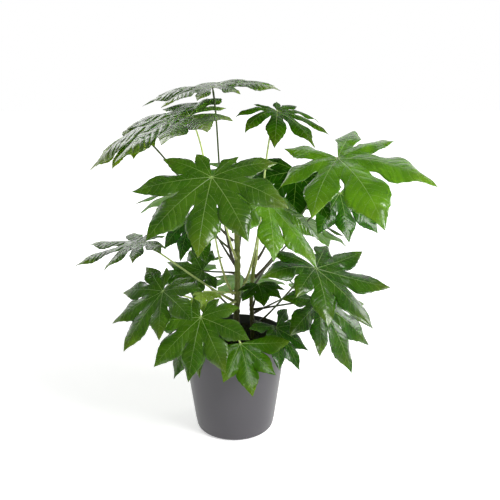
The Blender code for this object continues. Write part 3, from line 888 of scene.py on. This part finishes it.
def soil_surface():
    n = new_material("soil_dark")
    grain = n.noise(220.0, 6.0)
    colour = n.mix(n.step(grain, 0.35, 0.7), (0.006, 0.005, 0.004), (0.030, 0.022, 0.015))
    n.set(Base_Color=colour, Roughness=0.92)
    n.bump(grain, 0.8, 0.002)
    return n.owner


def pot_radius(height):
    return POT_BASE_RADIUS + (POT_RIM_RADIUS - POT_BASE_RADIUS) * height / POT_HEIGHT


def arc(centre, radius, start, end, steps):
    """Points (radius, height) on an arc between two angles in degrees."""
    angles = [math.radians(start + (end - start) * step / steps) for step in range(steps + 1)]
    return [(centre[0] + radius * math.cos(a), centre[1] + radius * math.sin(a)) for a in angles]


def lathe(name, profile, sides):
    """A closed solid turned about Z from (radius, height) points that start and end on the axis."""
    points = [(0, 0, profile[0][1])]
    faces = []
    inner = profile[1:-1]
    for radius, height in inner:
        for side in range(sides):
            points.append(around(radius, math.tau * side / sides, height))
    points.append((0, 0, profile[-1][1]))
    last = len(points) - 1
    for side in range(sides):
        after = (side + 1) % sides
        faces.append((0, 1 + after, 1 + side))
        for row in range(len(inner) - 1):
            low, high = 1 + row * sides, 1 + (row + 1) * sides
            faces.append((low + side, low + after, high + after, high + side))
        low = 1 + (len(inner) - 1) * sides
        faces.append((low + side, low + after, last))
    return smooth_mesh(name, points, faces)


POT_SIDES = 160
WALL_START = 0.02
RIM_BAND = 0.012


def build_pot():
    """A turned pot: its foot and rim are rounded, and straight walls run between them."""
    round_off = POT_WALL / 2
    top = POT_HEIGHT - RIM_BAND
    foot = arc((POT_BASE_RADIUS - POT_FOOT_ROUND, POT_FOOT_ROUND), POT_FOOT_ROUND, -90, -3, 10)
    wall = [(pot_radius(h), h) for h in np.linspace(WALL_START, top, 12)]
    rim = arc((POT_RIM_RADIUS - round_off, POT_HEIGHT - round_off), round_off, 0, 180, 12)
    inside = [(pot_radius(h) - POT_WALL, h) for h in np.linspace(top, POT_FLOOR, 10)]
    profile = [(0, 0)] + foot + wall + rim + inside + [(0, POT_FLOOR)]
    pot = add_object("pot_fine", lathe("pot_fine", profile, POT_SIDES), pot_surface())
    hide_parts("pot")
    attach(pot, "root")


def soil_top(radius, angle):
    """Height of the soil: low lumps, a little higher round the stems."""
    lumps = math.sin(3 * angle + 40 * radius) + 0.6 * math.sin(7 * angle - 90 * radius + 1.3)
    mound = SOIL_MOUND * (1 - radius / POT_RIM_RADIUS)
    level = POT_HEIGHT - SOIL_DEPTH_BELOW_RIM + mound
    return level + SOIL_LUMP / 2 * lumps * min(1, radius / FLAT_SOIL_RADIUS)


SOIL_RINGS = 44
SOIL_SIDES = 180
SOIL_ROUGHNESS = 0.0011
SOIL_WALL_GAP = 0.0006
SOIL_FOOT_GAP = 0.001
SOIL_FLOOR_GAP = 0.0005


def build_soil():
    """Soil with a crumbly top, and loose crumbs pressed into it."""
    state = random.Random("soil")
    edge = pot_radius(POT_HEIGHT - SOIL_DEPTH_BELOW_RIM) - POT_WALL - SOIL_WALL_GAP
    points = [(0, 0, soil_top(0, 0))]
    faces = []
    for ring in range(1, SOIL_RINGS + 1):
        for side in range(SOIL_SIDES):
            angle = math.tau * side / SOIL_SIDES
            radius = edge * ring / SOIL_RINGS
            rough = state.uniform(-SOIL_ROUGHNESS, SOIL_ROUGHNESS) * (ring < SOIL_RINGS)
            points.append(around(radius, angle, soil_top(radius, angle) + rough))
    bottom = len(points)
    low = pot_radius(POT_FLOOR) - POT_WALL - SOIL_FOOT_GAP
    floor = POT_FLOOR + SOIL_FLOOR_GAP
    points += [around(low, math.tau * side / SOIL_SIDES, floor) for side in range(SOIL_SIDES)]
    points.append((0, 0, floor))
    for side in range(SOIL_SIDES):
        after = (side + 1) % SOIL_SIDES
        faces.append((0, 1 + side, 1 + after))
        for ring in range(SOIL_RINGS):
            inner, outer = 1 + ring * SOIL_SIDES, 1 + (ring + 1) * SOIL_SIDES
            faces.append((inner + side, outer + side, outer + after, inner + after))
        faces.append((bottom + side, bottom + SOIL_SIDES, bottom + after))
    crumb_points, crumb_faces = crumbs(state)
    base = len(points)
    points += crumb_points
    faces += [tuple(corner + base for corner in face) for face in crumb_faces]
    soil = add_object("soil_fine", smooth_mesh("soil_fine", points, faces), soil_surface())
    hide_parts("soil")
    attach(soil, "root")


CRUMBS = 520
CRUMB_FIELD = 0.099
CRUMB_SIZES = (0.0010, 0.0032)
CRUMB_SPREAD = (0.75, 1.15)
CRUMB_ROWS = 3
CRUMB_SIDES = 6
CRUMB_TWIST = 0.5


def crumbs(state):
    """Small irregular lumps scattered over the soil."""
    points, faces = [], []
    for _ in range(CRUMBS):
        radius = CRUMB_FIELD * math.sqrt(state.random())
        angle = state.uniform(0, math.tau)
        size = state.uniform(*CRUMB_SIZES)
        centre = Vector(around(radius, angle, soil_top(radius, angle)))
        base = len(points)
        for row in range(1, CRUMB_ROWS + 1):
            slope = math.pi * row / (CRUMB_ROWS + 1)
            for side in range(CRUMB_SIDES):
                turn = math.tau * side / CRUMB_SIDES + row * CRUMB_TWIST
                reach = size * state.uniform(*CRUMB_SPREAD)
                way = Vector(around(math.sin(slope), turn, math.cos(slope)))
                points.append(tuple(centre + way * reach))
        top, lowest = len(points), len(points) - CRUMB_SIDES
        points.append(tuple(centre + Vector((0, 0, size))))
        points.append(tuple(centre - Vector((0, 0, size))))
        for side in range(CRUMB_SIDES):
            after = (side + 1) % CRUMB_SIDES
            faces.append((top, base + side, base + after))
            for row in range(CRUMB_ROWS - 1):
                a, b = base + row * CRUMB_SIDES + side, base + row * CRUMB_SIDES + after
                faces.append((a, a + CRUMB_SIDES, b + CRUMB_SIDES, b))
            faces.append((top + 1, lowest + after, lowest + side))
    return points, faces


STEM_ROWS = 120
STEM_SIDES = 28
SCARS = 9
SCAR_SHARES = (0.30, 0.98)
CROWN_STEPS = 6
CROWN_TIP = 0.0003
# Height, half-length as a share of the stem, and most height of the swellings and of the rings
SWELLING = (0.0007, 0.012, 0.0012)
RING = (0.00035, 0.006, 0.0005)


def rise_near(share, places, height, run, most):
    """Sum of the rounded rises at these places along a stem, up to most."""
    return min(sum(height * math.exp(-(((share - place) / run) ** 2)) for place in places), most)


def build_stem(stem, surface):
    """Stem with a swelling and a ring at each petiole, rings of old scars between, and a rounded top."""
    joints = sorted(stem_share(stem, leaf.joint) for leaf in LEAVES if STEMS[leaf.stem] is stem)
    state = random.Random(stem.name)
    scars = [state.uniform(*SCAR_SHARES) for _ in range(SCARS)] + joints
    path, radii = [], []
    for row in range(STEM_ROWS + 1):
        share = row / STEM_ROWS
        path.append(stem_spline(stem, share))
        swell, ring = rise_near(share, joints, *SWELLING), rise_near(share, scars, *RING)
        radii.append(stem_radius(stem, share) + swell + ring)
    crown = (path[-1] - path[-2]).normalized()
    for step in range(1, CROWN_STEPS + 1):
        angle = math.radians(90 * step / CROWN_STEPS)
        path.append(path[STEM_ROWS] + crown * stem.top_radius * math.sin(angle))
        radii.append(max(stem.top_radius * math.cos(angle), CROWN_TIP))
    points, faces = tube(path, radii, STEM_SIDES)
    mesh = smooth_mesh(stem.name + "_fine", [tuple(point) for point in points], faces)
    obj = add_object(stem.name + "_fine", mesh, surface)
    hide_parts(stem.name)
    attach(obj, "root")


FLOOR_HALF = 9
FLOOR_DROP = 0.0005
# Area lights: name, place, the point each looks at, size across, and power
LIGHTS = (
    ("key", (1.9, -1.45, 2.0), (0.02, 0, 0.40), 1.3, 82),
    ("front", (0.5, -2.3, 1.9), (0, 0, 0.40), 1.5, 2),
    ("back", (-1.25, 1.75, 1.7), (0, 0, 0.50), 1.5, 13),
    ("crown", (0.75, 1.5, 2.1), (0.20, 0, 0.60), 1.2, 1.8),
    ("rim", (1.7, 0.9, 0.8), (0, 0, 0.25), 0.8, 8),
)


def build_stage():
    """White floor, a strong light from the upper right and four weak ones, and a white surround."""
    signs = ((-1, -1), (1, -1), (1, 1), (-1, 1))
    corners = [(FLOOR_HALF * x, FLOOR_HALF * y, -FLOOR_DROP) for x, y in signs]
    mesh = bpy.data.meshes.new("floor")
    mesh.from_pydata(corners, [], [(0, 1, 2, 3)])
    floor = add_object("floor", mesh, floor_surface())
    bpy.context.scene.world = studio_world()
    for light in LIGHTS:
        add_light(*light)


def floor_surface():
    """Matt white that glows more further out, so that the floor meets the surround with no line."""
    n = new_material("floor_white")
    n.set(Base_Color=n.mix(n.noise(3.0, 2.0), (0.90, 0.90, 0.89), (0.92, 0.92, 0.92)), Roughness=0.9)
    away = n.add("ShaderNodeVectorMath", Vector=n.object_place())
    away.operation = "LENGTH"
    glow = n.math("MULTIPLY_ADD", n.step(away.outputs["Value"], 0.5, 2.2), 0.51, 0.53)
    n.set(Specular_IOR_Level=0.1, Emission_Color=(1, 1, 1), Emission_Strength=glow)
    return n.owner


def studio_world():
    """White room, brightest behind and to the left, and dim on the side that the photo was taken from."""
    n = Nodes(bpy.data.worlds.new("studio"), "Background")
    place = n.add("ShaderNodeTexCoord").outputs["Generated"]
    way = n.add("ShaderNodeSeparateXYZ", Vector=place).outputs
    slope = n.math("MULTIPLY_ADD", way["Z"], -0.35, way["Y"])
    lean = n.math("MULTIPLY_ADD", way["X"], -0.30, slope)
    room = n.add("ShaderNodeMapRange", Value=lean, From_Min=0.20, From_Max=0.70, To_Min=0.12, To_Max=1.20)
    # Where the camera sees the room itself, it is plain white
    seen = n.add("ShaderNodeLightPath").outputs["Is Camera Ray"]
    n.set(Strength=n.mix(seen, room.outputs["Result"], 1.0, colours=False), Color=(1, 1, 1))
    return n.owner


def add_light(name, place, target, size, power):
    data = bpy.data.lights.new(name, "AREA")
    data.shape = "DISK"
    data.size = size
    data.energy = power
    light = add_object(name, data)
    light.location = place
    light.rotation_euler = (Vector(target) - Vector(place)).to_track_quat("-Z", "Y").to_euler()


CAMERA_PLACE = (0.033, -1.28, 0.77)
CAMERA_PITCH = 16.3
CAMERA_LENS = 46.6
CAMERA_SENSOR = 36


def build_camera():
    data = bpy.data.cameras.new("camera")
    data.lens = CAMERA_LENS
    data.sensor_width = CAMERA_SENSOR
    camera = add_object("camera", data)
    camera.location = CAMERA_PLACE
    camera.rotation_euler = (math.radians(90 - CAMERA_PITCH), 0, 0)
    bpy.context.scene.camera = camera
    bpy.context.scene.view_settings.view_transform = "Standard"


# Tones of leaf: dark, light and tip colour, share of aged tips, gloss, pleats, and depth of relief; some
# tones paint light or shade
LEAF_TONES = {
    # Painted shade: a darker, nearly glossless copy of the leaf green for a leaf deep in the shade of the
    # leaves above
    "shaded": ((0.006, 0.022, 0.001), (0.014, 0.044, 0.002), (0.030, 0.070, 0.005), 0.2, 0.05, 0.5, 0.0008),
    "matte": ((0.016, 0.056, 0.001), (0.030, 0.089, 0.002), (0.070, 0.110, 0.006), 0.2, 0.015, 0.5, 0.0008),
    # Painted shade: a darker copy of the leaf green for the leaves behind and under the others
    "dark": ((0.012, 0.045, 0.003), (0.026, 0.082, 0.005), (0.040, 0.085, 0.006), 0.2, 0.28, 0.3, 0.0008),
    "glossy": ((0.014, 0.046, 0.001), (0.029, 0.078, 0.002), (0.090, 0.140, 0.008), 0.2, 0.45, 0.15, 0.0010),
    "middle": ((0.027, 0.074, 0.003), (0.050, 0.116, 0.006), (0.105, 0.150, 0.010), 0.2, 0.42, 0.5, 0.0009),
    # Painted light: a lighter copy of the leaf green for the leaves in full light at the upper right
    "bright": ((0.052, 0.142, 0.002), (0.093, 0.219, 0.004), (0.160, 0.240, 0.010), 0.2, 0.60, 0.5, 0.0010),
    "smooth": ((0.022, 0.068, 0.001), (0.039, 0.101, 0.002), (0.090, 0.150, 0.008), 0.2, 0.10, 0.2, 0.0005),
    "silver": ((0.030, 0.070, 0.006), (0.060, 0.120, 0.012), (0.190, 0.260, 0.020), 0.4, 0.60, 1.4, 0.0015),
    # Painted light: pale yellow-green that stands in for light shining through the leaf from behind
    "paling": ((0.120, 0.175, 0.010), (0.190, 0.260, 0.020), (0.240, 0.280, 0.026), 0.4, 0.15, 1.0, 0.0012),
    "young": ((0.200, 0.300, 0.025), (0.300, 0.420, 0.060), (0.300, 0.350, 0.070), 0.2, 0.50, 0.9, 0.0015),
}
TONE_OF = {
    "leaf_right": "bright",
    "leaf_inner_right": "bright",
    "leaf_over_pot": "smooth",
    "leaf_young": "young",
    "leaf_top": "silver",
    "leaf_upper_left": "silver",
    "leaf_far_left": "paling",
    "leaf_upper_right": "matte",
    "leaf_left": "silver",
    "leaf_mid_right": "shaded",
    "leaf_centre_right": "matte",
    "leaf_behind_right": "dark",
    "leaf_low_right": "glossy",
    "leaf_under_right": "glossy",
    "leaf_over_pot_right": "dark",
    "leaf_inner_left": "dark",
    "leaf_low_back_left": "dark",
    "leaf_low_back": "dark",
    "leaf_low_back_right": "dark",
    "leaf_back": "dark",
}
PALE_PETIOLES = (
    "leaf_upper_left",
    "leaf_upper_right",
    "leaf_left",
    "leaf_low_left",
    "leaf_front",
    "leaf_inner_right",
    "leaf_young",
    "leaf_low_front",
    "leaf_over_pot",
)


def build_leaves():
    uppers = {tone: leaf_upper("leaf_" + tone, *colours) for tone, colours in LEAF_TONES.items()}
    under = leaf_under("leaf_underside", (0.070, 0.150, 0.020), (0.24, 0.32, 0.10))
    pale = petiole_surface("petiole_pale", (0.42, 0.46, 0.14), (0.54, 0.66, 0.22))
    dark = petiole_surface("petiole_dark", (0.060, 0.050, 0.022), (0.060, 0.095, 0.020))
    for leaf in LEAVES:
        stalk = pale if leaf.name in PALE_PETIOLES else dark
        build_leaf(leaf, uppers[TONE_OF.get(leaf.name, "middle")], under, stalk)


def main():
    build_pot()
    build_soil()
    bark = bark_surface("bark", (0.110, 0.100, 0.032), (0.190, 0.250, 0.036))
    for stem in STEMS.values():
        build_stem(stem, bark)
    build_leaves()
    build_stage()
    build_camera()
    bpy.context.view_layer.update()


main()
